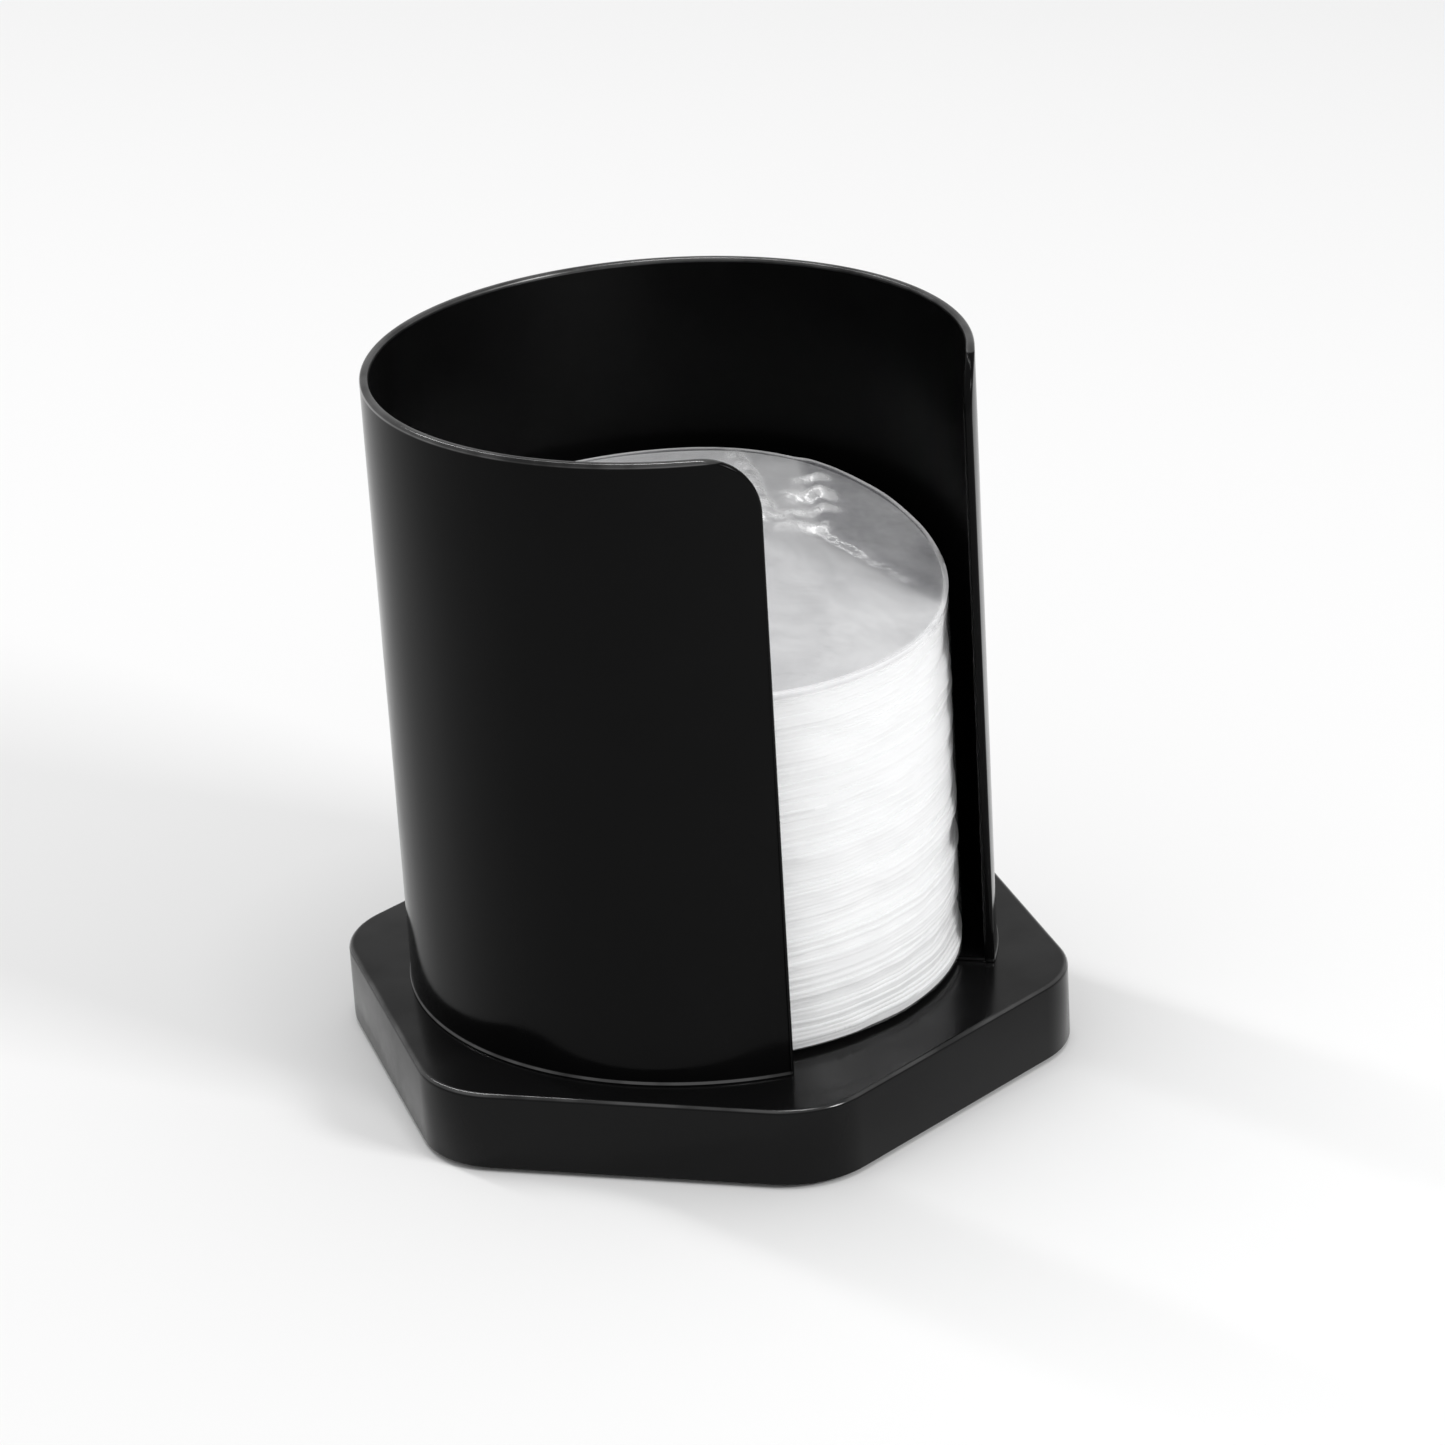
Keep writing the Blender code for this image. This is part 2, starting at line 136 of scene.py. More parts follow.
# The camera, fitted to the photo. Azimuth 0 looks at the slot from straight in front.
CAMERA_TARGET = (0.0061, -0.0063, 0.0897)
CAMERA_AZIMUTH = -45.95
CAMERA_ELEVATION = 23.63
CAMERA_ROLL = -3.45
CAMERA_DISTANCE = 1.373
CAMERA_LENS = 127.8

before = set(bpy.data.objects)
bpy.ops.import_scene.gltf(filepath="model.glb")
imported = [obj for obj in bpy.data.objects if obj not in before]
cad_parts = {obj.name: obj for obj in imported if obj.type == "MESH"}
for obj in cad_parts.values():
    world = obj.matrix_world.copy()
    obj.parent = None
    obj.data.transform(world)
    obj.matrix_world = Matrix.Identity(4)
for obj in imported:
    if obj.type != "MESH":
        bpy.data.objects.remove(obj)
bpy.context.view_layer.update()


# Places, from the frame


def middle_of(node):
    low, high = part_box(node)
    return (low + high) / 2


tube_low, tube_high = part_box("tube")
shell_low, shell_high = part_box("base_shell")
cover_low, cover_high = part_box("bottom_cover")
stack_low, stack_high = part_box("napkin_stack")
sheet_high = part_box("top_napkin")[1]
film_low, film_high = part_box("film_wrap")
ballast_low, ballast_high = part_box("ballast_plate")

TUBE_RADIUS = tube_high.x
TUBE_RIM = tube_high.z
SEAT_TOP = shell_high.z
BASE_TOP = SEAT_TOP - SEAT_HEIGHT
BASE_BOTTOM = shell_low.z
SKIN_BOTTOM = BASE_TOP - BASE_WALL
BASE_APOTHEM = shell_high.y
TUBE_FOOT = BASE_TOP + GAP
NAPKIN_RADIUS = stack_high.x
STACK_FRONT_TOP = stack_high.z - BACK_RISE
SHEET_FRONT_TOP = sheet_high.z - BACK_RISE
FILM_FRONT_TOP = film_high.z - BACK_RISE
COVER_TOP = cover_low.z + COVER_THICKNESS


# Geometry helpers


def polar(radius, degrees, z=0.0):
    angle = math.radians(degrees)
    return Vector((radius * math.cos(angle), radius * math.sin(angle), z))


def circle(radius, z, steps=ROUND_STEPS):
    return [polar(radius, 360 * i / steps, z) for i in range(steps)]


def rounded_hexagon(apothem, corner_radius, z, steps=14):
    """A hexagon with flat sides facing -Y and +Y, and rounded corners."""
    centre = (apothem - corner_radius) / math.cos(math.radians(30))
    points = []
    for corner in CORNER_ANGLES:
        for step in range(steps + 1):
            turn = corner - 30 + 60 * step / steps
            points.append(polar(centre, corner, z) + polar(corner_radius, turn))
    return points


def round_ring_within(outline, radius, z):
    return [Vector((p.x, p.y, 0)).normalized() * radius + Vector((0, 0, z)) for p in outline]


def loft(rings, start="cap", end="cap"):
    """A mesh through rings of equal length. Each end is a flat "cap", a fan to a point, or None for open.

    start="loop" joins the last ring to the first instead.
    """
    bm = bmesh.new()
    levels = [[bm.verts.new(point) for point in ring] for ring in rings]
    count = len(levels[0])
    pairs = list(zip(levels, levels[1:]))
    ends = [(levels[0], start), (levels[-1], end)]
    if start == "loop":
        pairs.append((levels[-1], levels[0]))
        ends = []
    for lower, upper in pairs:
        for i in range(count):
            j = (i + 1) % count
            bm.faces.new((lower[i], lower[j], upper[j], upper[i]))
    for level, closing in ends:
        if closing is None:
            continue
        if closing == "cap":
            bm.faces.new(level)
            continue
        middle = bm.verts.new(closing)
        for i in range(count):
            bm.faces.new((level[i], level[(i + 1) % count], middle))
    bmesh.ops.recalc_face_normals(bm, faces=bm.faces)
    return bm


def turned(profile, steps=HOLE_STEPS):
    """A solid of revolution about Z from (radius, z) pairs, with flat ends."""
    return loft([circle(radius, z, steps) for radius, z in profile])


def rounded_disc(radius, bottom, top, rounding, steps=HOLE_STEPS, arc=5):
    """A disc whose two outer edges are rounded."""
    profile = []
    for step in range(arc + 1):
        turn = math.radians(90 * step / arc)
        profile.append((radius - rounding * (1 - math.sin(turn)), bottom + rounding * (1 - math.cos(turn))))
    for step in range(arc + 1):
        turn = math.radians(90 * step / arc)
        profile.append((radius - rounding * (1 - math.cos(turn)), top - rounding * (1 - math.sin(turn))))
    return turned(profile, steps)


def posts(places, radius, bottom, top, steps=HOLE_STEPS):
    """Upright cylinders of one size."""
    bm = bmesh.new()
    for place in places:
        post = turned([(radius, bottom), (radius, top)], steps)
        bmesh.ops.translate(post, verts=post.verts, vec=(place.x, place.y, 0))
        part = bpy.data.meshes.new("post")
        post.to_mesh(part)
        post.free()
        bm.from_mesh(part)
        bpy.data.meshes.remove(part)
    return bm


def places_on(radius, angles):
    return [polar(radius, angle) for angle in angles]


def mesh_from(name, bm, sharp=35):
    mesh = bpy.data.meshes.new(name)
    bm.to_mesh(mesh)
    bm.free()
    mesh.shade_smooth()
    mesh.set_sharp_from_angle(angle=math.radians(sharp))
    return mesh


def piece(name, mesh, finish):
    obj = bpy.data.objects.new(name, mesh)
    bpy.context.scene.collection.objects.link(obj)
    if finish and not mesh.materials:
        mesh.materials.append(finish)
    return obj


def combined(obj, operation, bm, sharp=35):
    """Adds or cuts the shape with a Boolean, applied at once."""
    tool = piece("tool", mesh_from("tool", bm), None)
    modifier = obj.modifiers.new("tool", "BOOLEAN")
    modifier.operation = operation
    modifier.solver = "EXACT"
    modifier.object = tool
    graph = bpy.context.evaluated_depsgraph_get()
    made = bpy.data.meshes.new_from_object(obj.evaluated_get(graph))
    obj.modifiers.clear()
    obj.data = made
    made.shade_smooth()
    made.set_sharp_from_angle(angle=math.radians(sharp))
    bpy.data.meshes.remove(tool.data)  # the tool goes with its mesh


def stands_for(obj, body, slot, *nodes):
    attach(obj, body)
    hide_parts(*nodes)


# Materials


class Look:
    """A material, with short calls for the nodes used here."""

    def __init__(self, name):
        self.material = bpy.data.materials.new(name)
        self.material.use_nodes = True
        self.tree = self.material.node_tree
        self.shader = self.tree.nodes["Principled BSDF"]
        self.place = self.tree.nodes.new("ShaderNodeTexCoord").outputs["Object"]

    def set(self, **values):
        for name, value in values.items():
            self.shader.inputs[name.replace("_", " ")].default_value = value

    def link(self, source, target):
        self.tree.links.new(source, target)

    def stretched(self, scale):
        mapping = self.tree.nodes.new("ShaderNodeMapping")
        mapping.inputs["Scale"].default_value = scale
        self.link(self.place, mapping.inputs["Vector"])
        return mapping.outputs["Vector"]

    def parts_of(self, vector):
        node = self.tree.nodes.new("ShaderNodeSeparateXYZ")
        self.link(vector, node.inputs["Vector"])
        return node.outputs["X"], node.outputs["Y"], node.outputs["Z"]

    def painted(self, mark):
        """A value stored on the mesh's points."""
        node = self.tree.nodes.new("ShaderNodeAttribute")
        node.attribute_name = mark
        return node.outputs["Fac"]

    def noise(self, scale, detail=2.0, roughness=0.5, vector=None, distortion=0.0):
        node = self.tree.nodes.new("ShaderNodeTexNoise")
        node.inputs["Scale"].default_value = scale
        node.inputs["Detail"].default_value = detail
        node.inputs["Roughness"].default_value = roughness
        node.inputs["Distortion"].default_value = distortion
        self.link(vector or self.place, node.inputs["Vector"])
        return node.outputs["Fac"]

    def spread(self, value, low, high, from_low=0.0, from_high=1.0):
        node = self.tree.nodes.new("ShaderNodeMapRange")
        node.inputs["From Min"].default_value = from_low
        node.inputs["From Max"].default_value = from_high
        node.inputs["To Min"].default_value = low
        node.inputs["To Max"].default_value = high
        self.link(value, node.inputs["Value"])
        return node.outputs["Result"]

    def maths(self, operation, *values):
        node = self.tree.nodes.new("ShaderNodeMath")
        node.operation = operation
        for socket, value in zip(node.inputs, values):
            if isinstance(value, (int, float)):
                socket.default_value = value
            else:
                self.link(value, socket)
        return node.outputs["Value"]

    def colour(self, value, dark, light):
        """Mixes two colours by the value. The dark one may be another node's colour."""
        node = self.tree.nodes.new("ShaderNodeMix")
        node.data_type = "RGBA"
        # The Mix node has several sockets of one name, so they are taken by index: factor 0, colours 6 and 7
        self.link(value, node.inputs[0])
        if isinstance(dark, tuple):
            node.inputs[6].default_value = (*dark, 1.0)
        else:
            self.link(dark, node.inputs[6])
        node.inputs[7].default_value = (*light, 1.0)
        return node.outputs[2]

    def bump(self, height, strength, distance, before=None):
        node = self.tree.nodes.new("ShaderNodeBump")
        node.inputs["Strength"].default_value = strength
        node.inputs["Distance"].default_value = distance
        self.link(height, node.inputs["Height"])
        if before:
            self.link(before, node.inputs["Normal"])
        return node.outputs["Normal"]

    def finish(self, colour=None, roughness=None, normal=None, alpha=None):
        driven = {"Base Color": colour, "Roughness": roughness, "Normal": normal, "Alpha": alpha}
        for name, value in driven.items():
            if value is not None:
                self.link(value, self.shader.inputs[name])
        return self.material


def gloss_black(name, index, roughness, tone, peel, edges, inner_roughness=None):
    """Moulded black plastic: a polished skin with a faint flow ripple, handling haze and hair scratches.

    The edges, given as (bottom, top) heights, are rubbed bright by handling. With an inner roughness, the
    inside of the tube's wall is less polished than the outside.
    """
    look = Look(name)
    x, y, height = look.parts_of(look.place)
    rubbed = None
    for bottom, top in edges:
        above = look.spread(height, 0, 1, bottom - EDGE_BLEND, bottom + EDGE_BLEND)
        below = look.spread(height, 1, 0, top - EDGE_BLEND, top + EDGE_BLEND)
        band = look.maths("MULTIPLY", above, below)
        rubbed = look.maths("MAXIMUM", rubbed, band) if rubbed else band
    worn = look.maths("MULTIPLY", rubbed, look.spread(look.noise(60, detail=3), 0.35, 1.0, 0.35, 0.6))
    look.link(look.spread(worn, index, EDGE_INDEX), look.shader.inputs["IOR"])
    haze = look.noise(38, detail=4, roughness=0.6)
    fine = look.noise(420, detail=2)
    scratch = look.noise(1.0, detail=3, vector=look.stretched((900, 900, 60)))
    darker = (tone * 0.75, tone * 0.75, tone * 0.75)
    colour = look.colour(haze, darker, (tone * 1.2, tone * 1.2, tone * 1.25))
    hazy = look.spread(haze, roughness * 0.7, roughness * 1.5, 0.3, 0.7)
    rough = look.maths("ADD", hazy, look.spread(fine, -0.02, 0.03))
    if inner_roughness:
        squares = look.maths("ADD", look.maths("MULTIPLY", x, x), look.maths("MULTIPLY", y, y))
        from_axis = look.maths("SQRT", squares)
        inside, within_wall = TUBE_RADIUS - TUBE_WALL, TUBE_RADIUS - 0.6 * TUBE_WALL
        inner = look.spread(from_axis, inner_roughness, 0, inside, within_wall)
        rough = look.maths("ADD", rough, inner)
    ripple = look.bump(look.noise(22, detail=1), 0.06, 0.6 * MM)
    skin = look.bump(look.noise(190, detail=2), peel, 0.15 * MM, before=ripple)
    marks = look.bump(look.spread(scratch, 0, 1, 0.62, 0.72), 0.05, 0.02 * MM, before=skin)
    return look.finish(colour, rough, marks)


def moulded_black(name):
    """The matte, spark-eroded plastic of the underside."""
    look = Look(name)
    look.set(IOR=1.45)
    grain = look.noise(2600, detail=3, roughness=0.7)
    cloud = look.noise(30, detail=3)
    colour = look.colour(cloud, (0.012, 0.012, 0.012), (0.024, 0.024, 0.025))
    return look.finish(colour, look.spread(grain, 0.48, 0.72, 0.3, 0.7), look.bump(grain, 0.35, 0.08 * MM))


def rubber(name):
    look = Look(name)
    look.set(IOR=1.4)
    grain = look.noise(1500, detail=4, roughness=0.65)
    colour = look.colour(look.noise(120, detail=3), (0.016, 0.016, 0.016), (0.035, 0.034, 0.033))
    return look.finish(colour, look.spread(grain, 0.75, 0.95), look.bump(grain, 0.4, 0.1 * MM))


def bright_steel(name, tint, stretch):
    """Plated steel with marks drawn out along one direction."""
    look = Look(name)
    look.set(Metallic=1.0)
    drawn = look.noise(1.0, detail=5, roughness=0.6, vector=look.stretched(stretch))
    cloud = look.noise(90, detail=2)
    colour = look.colour(cloud, tuple(0.82 * c for c in tint), tint)
    return look.finish(colour, look.spread(drawn, 0.22, 0.46, 0.3, 0.7), look.bump(drawn, 0.15, 0.03 * MM))


def tissue(name, light):
    """Soft tissue paper: fibres, a fine creping and small changes of tone."""
    look = Look(name)
    look.set(IOR=1.35, Sheen_Weight=0.15, Sheen_Roughness=0.6)
    fibre = look.noise(1700, detail=5, roughness=0.75, distortion=1.5)
    crepe = look.noise(1.0, detail=3, vector=look.stretched((1500, 260, 1500)))
    cloud = look.noise(60, detail=4, roughness=0.6)
    both = look.maths("ADD", look.maths("MULTIPLY", fibre, 0.6), look.maths("MULTIPLY", crepe, 0.4))
    dark = tuple(light * c for c in (0.93, 0.935, 0.94))
    colour = look.colour(cloud, dark, (light, light, light))
    return look.finish(colour, look.spread(fibre, 0.82, 0.98), look.bump(both, 0.3, 0.12 * MM))


def clear_film(name):
    """Thin clear film. Its mesh says where it lies on the top, stands loose in the pocket, is pinched, or
    bends over the rim. The top is tinted grey as painted shade, thickest in the pocket; the pinches are
    painted pale as painted glints, and the bent rim as a painted highlight.
    """
    look = Look(name)
    look.set(Specular_IOR_Level=0.8)
    on_top, pocket, pinch, bend = (look.painted(mark) for mark in FILM_MARKS)
    veil = look.noise(40, detail=3, roughness=0.6, distortion=0.8)
    cloud = look.noise(75, detail=3, roughness=0.6)
    # Painted shade: on the top the film is veiled in the dark grey tint below, and in the loose pocket the
    # veil is thicker, so the pocket reads darkest
    clear = look.maths("MULTIPLY", on_top, look.spread(veil, 0.03, 0.12, 0.3, 0.7))
    loose = look.maths("MULTIPLY", pocket, look.spread(cloud, 0.10, 0.27, 0.3, 0.7))
    # Painted glint: on the pinches the film is painted pale in drawn streaks, and made more reflective and
    # rougher
    drawn = look.noise(1.0, detail=3, vector=look.stretched((420, 170, 200)))
    streaks = look.spread(drawn, 0.25, 1.0, 0.4, 0.62)
    pinched = look.maths("MULTIPLY", pinch, streaks)
    haze = look.maths("ADD", look.maths("ADD", clear, loose), look.spread(veil, 0.05, 0.10))
    alpha = look.maths("MAXIMUM", haze, look.maths("MULTIPLY", look.maths("MAXIMUM", pinched, bend), 0.6))
    # Painted shade: the film on the top is tinted dark grey, the film on the side near-clear and pale
    tint = look.colour(on_top, (0.93, 0.93, 0.94), (0.30, 0.30, 0.32))
    # Painted glint and painted highlight: the pinches and the bent rim are mixed to a pale colour and made
    # more opaque
    painted_highlight_mix = look.spread(look.maths("MAXIMUM", pinched, bend), 0, 1, 0, 0.35)
    colour = look.colour(painted_highlight_mix, tint, (0.98, 0.98, 0.99))
    look.link(look.spread(pinched, 1.5, 2.2), look.shader.inputs["IOR"])
    rough = look.maths("ADD", look.spread(veil, 0.10, 0.20), look.maths("MULTIPLY", pinched, 0.14))
    crease = look.maths("ABSOLUTE", look.maths("SUBTRACT", look.noise(55, detail=4, distortion=1.0), 0.5))
    wrinkle = look.bump(look.spread(crease, 1, 0, 0.0, 0.12), 0.35, 0.5 * MM)
    fine = look.bump(look.noise(260, detail=4, roughness=0.6), 0.10, 0.25 * MM, before=wrinkle)
    return look.finish(colour, rough, fine, alpha)


# Tube


def wall_columns(inset):
    """(arc length, top) along the unrolled wall, with its outline drawn in by the inset."""
    length = TUBE_RADIUS * math.radians(360 - 2 * SLOT_HALF_ANGLE)
    radius = SLOT_CORNER_RADIUS - inset
    corner_steps = 18
    corner = []
    for step in range(corner_steps):
        turn = math.radians(90 * step / corner_steps)
        drop = SLOT_CORNER_RADIUS - radius * math.sin(turn)
        corner.append((SLOT_CORNER_RADIUS - radius * math.cos(turn), TUBE_RIM - drop))
    straight_steps = 200
    straight = length - 2 * SLOT_CORNER_RADIUS
    columns = list(corner)
    for step in range(straight_steps + 1):
        columns.append((SLOT_CORNER_RADIUS + straight * step / straight_steps, TUBE_RIM - inset))
    columns += [(length - along, top) for along, top in reversed(corner)]
    return columns


def foot_flare(z):
    """The hollow fillet round the outside of the tube's foot: how far it stands out at this height."""
    left = 1 - min(max((z - TUBE_FOOT) / FOOT_FILLET, 0.0), 1.0)
    return FOOT_FILLET * (1 - math.sqrt(1 - left * left))


def bent(along, z, depth):
    """A point of the unrolled wall, bent round the tube's axis."""
    angle = -90 + SLOT_HALF_ANGLE + math.degrees(along / TUBE_RADIUS)
    return polar(TUBE_RADIUS - depth + foot_flare(z) * (1 - depth / TUBE_WALL), angle, z)


def wall_sheet():
    """The tube's wall: one bent sheet, rounded along its whole outline."""
    arc = 6
    edge = []
    for step in range(arc + 1):
        turn = math.radians(90 * step / arc)
        edge.append((RIM_ROUNDING * (1 - math.sin(turn)), RIM_ROUNDING * (1 - math.cos(turn))))
    edge += [(inset, TUBE_WALL - depth) for inset, depth in reversed(edge)]

    bm = bmesh.new()
    rings = []
    for inset, depth in edge:
        columns = wall_columns(inset)
        # The foot is rounded less than the rim, because it stands on the base
        lower = [bm.verts.new(bent(along, TUBE_FOOT + 0.1 * inset, depth)) for along, top in columns]
        upper = [bm.verts.new(bent(along, top, depth)) for along, top in columns]
        rings.append((lower, upper))
    for (lower, upper), (next_lower, next_upper) in zip(rings, rings[1:]):
        here = lower + upper[::-1]
        there = next_lower + next_upper[::-1]
        for i in range(len(here)):
            j = (i + 1) % len(here)
            bm.faces.new((here[i], here[j], there[j], there[i]))
    for (lower, upper), (inset, depth) in ((rings[0], edge[0]), (rings[-1], edge[-1])):
        rows = [lower]
        columns = wall_columns(inset)
        for height in WALL_ROWS_MM:
            rows.append([bm.verts.new(bent(along, TUBE_FOOT + height * MM, depth)) for along, top in columns])
        rows.append(upper)
        for below, above in zip(rows, rows[1:]):
            for i in range(len(below) - 1):
                bm.faces.new((below[i], below[i + 1], above[i + 1], above[i]))
    bmesh.ops.recalc_face_normals(bm, faces=bm.faces)
    return bm


def arc_bar(section, clearance):
    """A bar of this (radius, z) section along the wall. The clearance to the slot's edges is in degrees."""
    first = -90 + SLOT_HALF_ANGLE + clearance
    last = 270 - SLOT_HALF_ANGLE - clearance
    steps = 200
    rings = []
    for step in range(steps + 1):
        angle = first + (last - first) * step / steps
        rings.append([polar(radius, angle, z) for radius, z in section])
    return loft(rings)


def foot_flange():
    """The ring inside the tube's foot that its screws pull on to the base."""
    outside = TUBE_RADIUS - TUBE_WALL / 2
    section = [
        (outside, TUBE_FOOT),
        (outside, SEAT_TOP),
        (FLANGE_INSIDE, SEAT_TOP),
        (FLANGE_INSIDE, TUBE_FOOT),
    ]
    return arc_bar(section, clearance=0.4)


def make_tube(finish):
    tube = piece("c_tube", mesh_from("c_tube", wall_sheet()), finish)
    combined(tube, "UNION", foot_flange())
    places = places_on(TUBE_SCREW_CIRCLE, TUBE_SCREW_ANGLES)
    combined(tube, "UNION", posts(places, BOSS_RADIUS, tube_low.z, (TUBE_FOOT + SEAT_TOP) / 2))
    combined(tube, "DIFFERENCE", posts(places, SCREW_HOLE_RADIUS, tube_low.z - CUT_PAST, SEAT_TOP - 0.5 * MM))
    stands_for(tube, "holder", "tube", "tube")


# Base


def make_base_shell(finish):
    inner = rounded_hexagon(BASE_APOTHEM - BASE_WALL, BASE_CORNER_RADIUS - BASE_WALL, SKIN_BOTTOM)
    lip = BASE_LIP
    rings = [
        inner,
        rounded_hexagon(BASE_APOTHEM - BASE_WALL, BASE_CORNER_RADIUS - BASE_WALL, BASE_BOTTOM),
        rounded_hexagon(BASE_APOTHEM - lip, BASE_CORNER_RADIUS - lip, BASE_BOTTOM),
        rounded_hexagon(BASE_APOTHEM - 0.3 * lip, BASE_CORNER_RADIUS - 0.3 * lip, BASE_BOTTOM + 0.3 * lip),
        rounded_hexagon(BASE_APOTHEM, BASE_CORNER_RADIUS, BASE_BOTTOM + lip),
    ]
    arc = 8
    for step in range(arc + 1):
        turn = math.radians(90 * step / arc)
        inset = BASE_FILLET * (1 - math.cos(turn))
        height = BASE_TOP - BASE_FILLET * (1 - math.sin(turn))
        rings.append(rounded_hexagon(BASE_APOTHEM - inset, BASE_CORNER_RADIUS - inset, height))
    rings.append(round_ring_within(inner, SEAT_RADIUS, BASE_TOP))
    rings.append(round_ring_within(inner, SEAT_RADIUS, SEAT_TOP - SEAT_EDGE))
    rings.append(round_ring_within(inner, SEAT_RADIUS - 0.3 * SEAT_EDGE, SEAT_TOP - 0.3 * SEAT_EDGE))
    rings.append(round_ring_within(inner, SEAT_RADIUS - SEAT_EDGE, SEAT_TOP))
    shell = piece("c_base_shell", mesh_from("c_base_shell", loft(rings)), finish)

    inside_skin = SKIN_BOTTOM + BASE_WALL / 2
    post_bottom = COVER_TOP + GAP
    cover_places = places_on(COVER_SCREW_CIRCLE, CORNER_ANGLES)
    hold_places = places_on(PEG_CIRCLE, HOLD_POST_ANGLES)
    boss_places = places_on(TUBE_SCREW_CIRCLE, TUBE_SCREW_ANGLES)
    combined(shell, "UNION", posts(cover_places, COVER_POST_RADIUS, post_bottom, inside_skin))
    combined(shell, "UNION", posts(hold_places, COVER_POST_RADIUS, ballast_high.z + GAP, inside_skin))
    hole = BOSS_RADIUS + BOSS_CLEARANCE
    combined(shell, "DIFFERENCE", posts(boss_places, hole, SKIN_BOTTOM - CUT_PAST, BASE_TOP + CUT_PAST))
    hole_top = post_bottom + COVER_POST_HOLE
    combined(shell, "DIFFERENCE", posts(cover_places, SCREW_HOLE_RADIUS, post_bottom - CUT_PAST, hole_top))
    stands_for(shell, "holder", "base", "base_shell")


def make_bottom_cover(finish):
    apothem = cover_high.y
    corner = BASE_CORNER_RADIUS - (BASE_APOTHEM - apothem)
    chamfer = COVER_CHAMFER
    rings = [
        rounded_hexagon(apothem - chamfer, corner - chamfer, cover_low.z),
        rounded_hexagon(apothem, corner, cover_low.z + chamfer),
        rounded_hexagon(apothem, corner, COVER_TOP - chamfer),
        rounded_hexagon(apothem - chamfer, corner - chamfer, COVER_TOP),
    ]
    cover = piece("c_bottom_cover", mesh_from("c_bottom_cover", loft(rings)), finish)
    screws = places_on(COVER_SCREW_CIRCLE, CORNER_ANGLES)
    feet = places_on(FOOT_CIRCLE, CORNER_ANGLES)
    pegs = places_on(PEG_CIRCLE, PEG_ANGLES)
    below = cover_low.z - CUT_PAST
    foot_low, foot_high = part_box("foot_1")
    foot_radius = (foot_high.x - foot_low.x) / 2
    combined(cover, "UNION", posts(pegs, PEG_RADIUS, (cover_low.z + COVER_TOP) / 2, cover_high.z))
    combined(cover, "DIFFERENCE", posts(screws, SCREW_HOLE_RADIUS, below, COVER_TOP + CUT_PAST))
    combined(cover, "DIFFERENCE", posts(screws, COUNTERBORE_RADIUS, below, cover_low.z + COUNTERBORE_DEPTH))
    combined(cover, "DIFFERENCE", posts(feet, foot_radius + GAP, below, cover_low.z + FOOT_RECESS))
    stands_for(cover, "holder", "cover", "bottom_cover")


def make_ballast_plate(finish):
    disc = rounded_disc(ballast_high.x, ballast_low.z, ballast_high.z, 0.5 * MM, steps=ROUND_STEPS)
    plate = piece("c_ballast_plate", mesh_from("c_ballast_plate", disc), finish)
    pegs = places_on(PEG_CIRCLE, PEG_ANGLES)
    low, high = ballast_low.z - CUT_PAST, ballast_high.z + CUT_PAST
    combined(plate, "DIFFERENCE", posts(pegs, PEG_RADIUS + PEG_CLEARANCE, low, high))
    stands_for(plate, "holder", "ballast", "ballast_plate")


# Fasteners and feet


def screw_mesh(name, length, finish):
    """A self-tapping pan-head screw pointing up, with the seat of its head at z = 0."""
    steps = 32
    rings = []
    for step in range(9):
        turn = math.radians(90 * step / 8)
        radius = SCREW_HEAD_RADIUS * (0.25 + 0.75 * math.sin(turn))
        rings.append(circle(radius, -SCREW_HEAD_HEIGHT * (0.25 + 0.75 * math.cos(turn)), steps))
    rings.append(circle(SCREW_HEAD_RADIUS, -0.1 * SCREW_HEAD_HEIGHT, steps))
    rings.append(circle(0.97 * SCREW_HEAD_RADIUS, 0, steps))
    core = 0.78 * SCREW_RADIUS
    levels = int(8 * length / SCREW_PITCH)
    for level in range(levels + 1):
        z = length * level / levels
        taper = min(1.0, (length - z) / (1.4 * MM) + 0.25)
        ring = []
        for i in range(steps):
            phase = (z / SCREW_PITCH - i / steps) % 1.0
            ridge = max(0.0, 1 - abs(phase - 0.5) * 3.2)
            run_in = min(1.0, z / (0.6 * MM))
            radius = (core + (SCREW_RADIUS - core) * ridge * run_in) * taper
            ring.append(polar(radius, 360 * i / steps, z))
        rings.append(ring)
    screw = piece(name, mesh_from(name, loft(rings), sharp=50), finish)
    for size_x, size_y in ((CROSS_LENGTH, CROSS_WIDTH), (CROSS_WIDTH, CROSS_LENGTH)):
        cross = bmesh.new()
        bmesh.ops.create_cube(cross, size=1)
        bmesh.ops.scale(cross, verts=cross.verts, vec=(size_x, size_y, CROSS_DEPTH))
        bmesh.ops.translate(cross, verts=cross.verts, vec=(0, 0, -SCREW_HEAD_HEIGHT))
        combined(screw, "DIFFERENCE", cross, sharp=50)
    mesh = screw.data
    bpy.data.objects.remove(screw)
    return mesh


def make_screws(group, count, length, finish):
    mesh = screw_mesh(group, length, finish)
    for number in range(1, count + 1):
        node = f"{group}_{number}"
        screw = piece(f"c_{node}", mesh, finish)
        screw.location = middle_of(node)
        screw.location.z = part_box(node)[0].z + SCREW_HEAD_HEIGHT
        screw.rotation_euler.z = math.radians(37 * number)
        stands_for(screw, "holder", "screws", node)


